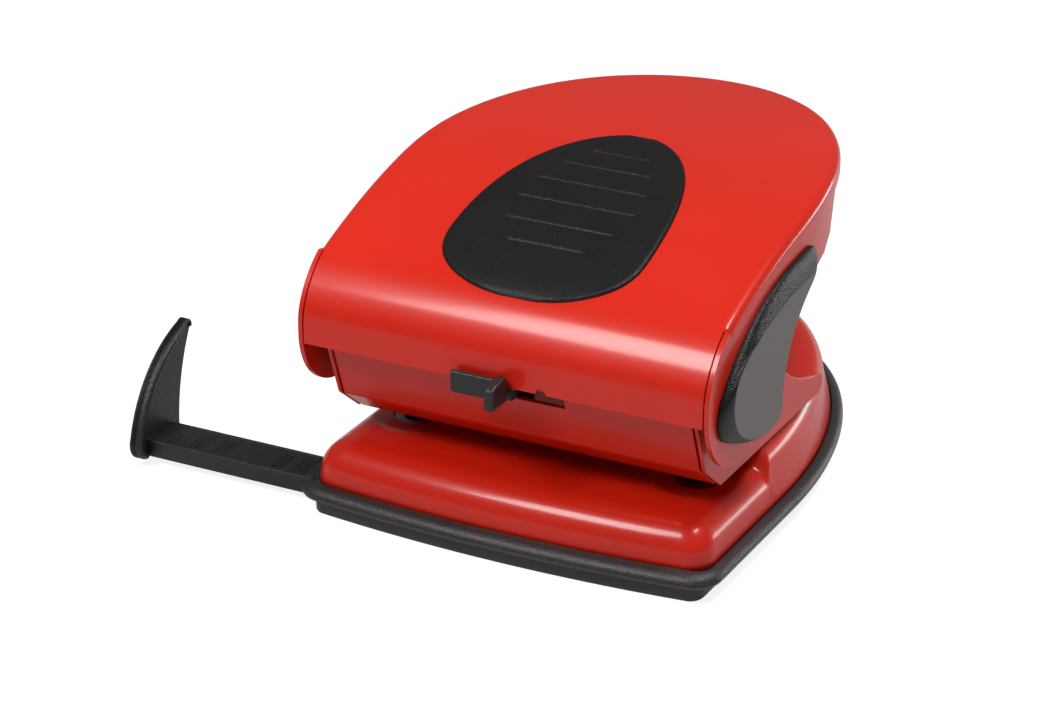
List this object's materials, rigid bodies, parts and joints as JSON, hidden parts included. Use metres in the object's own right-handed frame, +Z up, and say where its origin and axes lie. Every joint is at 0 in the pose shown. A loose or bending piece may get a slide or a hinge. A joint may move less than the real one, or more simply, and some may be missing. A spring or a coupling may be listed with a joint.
{
  "type": "hole punch",
  "caption": "Desk paper punch with a sheet-steel lever and base, plastic chad tray, sliding paper guide, lock slide and side caps.",
  "frame": {"origin": "on the table, under the middle of the line joining the punch pins", "axes": "+Z up, +Y towards the rear end of the lever, -Y where the paper goes in, +X to the right"},
  "size_m": [0.1675, 0.1554, 0.0843],
  "materials": {
    "red_lacquer": "glossy baked lacquer",
    "black_plastic": "fine spark-eroded grain",
    "soft_grip": "fine grained soft-touch plastic",
    "tool_steel": "ground",
    "zinc_steel": "zinc plated",
    "spring_steel": "drawn wire"
  },
  "bodies": {
    "base": {"base_plate": "red_lacquer", "punch_frame": "red_lacquer", "frame_rivets": "zinc_steel", "guide_bridge": "zinc_steel", "bridge_rivets": "zinc_steel", "die_left": "tool_steel", "pivot_rivet_left": "zinc_steel", "spacer_washer_left": "zinc_steel", "return_spring_left": "spring_steel", "die_right": "tool_steel", "pivot_rivet_right": "zinc_steel", "spacer_washer_right": "zinc_steel", "return_spring_right": "spring_steel"},
    "tray": {"chad_tray": "black_plastic", "guide_leaf_spring": "spring_steel"},
    "guide": {"paper_guide": "black_plastic"},
    "lever_arm": {"lever": "red_lacquer", "presser_bar": "zinc_steel", "lever_pad": "soft_grip", "side_cap_left": "soft_grip", "side_cap_right": "soft_grip"},
    "lock": {"lock_slide": "black_plastic", "lock_keeper": "zinc_steel"},
    "pin_left": {"punch_pin_left": "tool_steel", "spring_clip_left": "spring_steel"},
    "pin_right": {"punch_pin_right": "tool_steel", "spring_clip_right": "spring_steel"}
  },
  "joints": [
    {"name": "lever_hinge", "type": "hinge", "parent": "base", "child": "lever_arm", "pos_m": [0, -0.018, 0.05], "axis": [-1, 0, 0], "range_deg": [0, 22], "stiffness_Nm_per_rad": 1.2, "springref_deg": -20.05},
    {"name": "pin_left_slide", "type": "slide", "parent": "base", "child": "pin_left", "axis": [0, 0, -1], "range_m": [0, 0.007], "deforming": ["return_spring_left"]},
    {"name": "pin_right_slide", "type": "slide", "parent": "base", "child": "pin_right", "axis": [0, 0, -1], "range_m": [0, 0.007], "deforming": ["return_spring_right"]},
    {"name": "lock_slide_joint", "type": "slide", "parent": "base", "child": "lock", "axis": [1, 0, 0], "range_m": [0, 0.012]},
    {"name": "tray_hinge", "type": "hinge", "parent": "base", "child": "tray", "pos_m": [0, 0.115, 0.0072], "axis": [1, 0, 0], "range_deg": [0, 40]},
    {"name": "guide_slide", "type": "slide", "parent": "tray", "child": "guide", "axis": [1, 0, 0], "range_m": [-0.0435, 0.0455]}
  ],
  "couplings": [
    {"joint": "pin_left_slide", "follows": "lever_hinge", "m_per_rad": 0.018},
    {"joint": "pin_right_slide", "follows": "lever_hinge", "m_per_rad": 0.018}
  ]
}
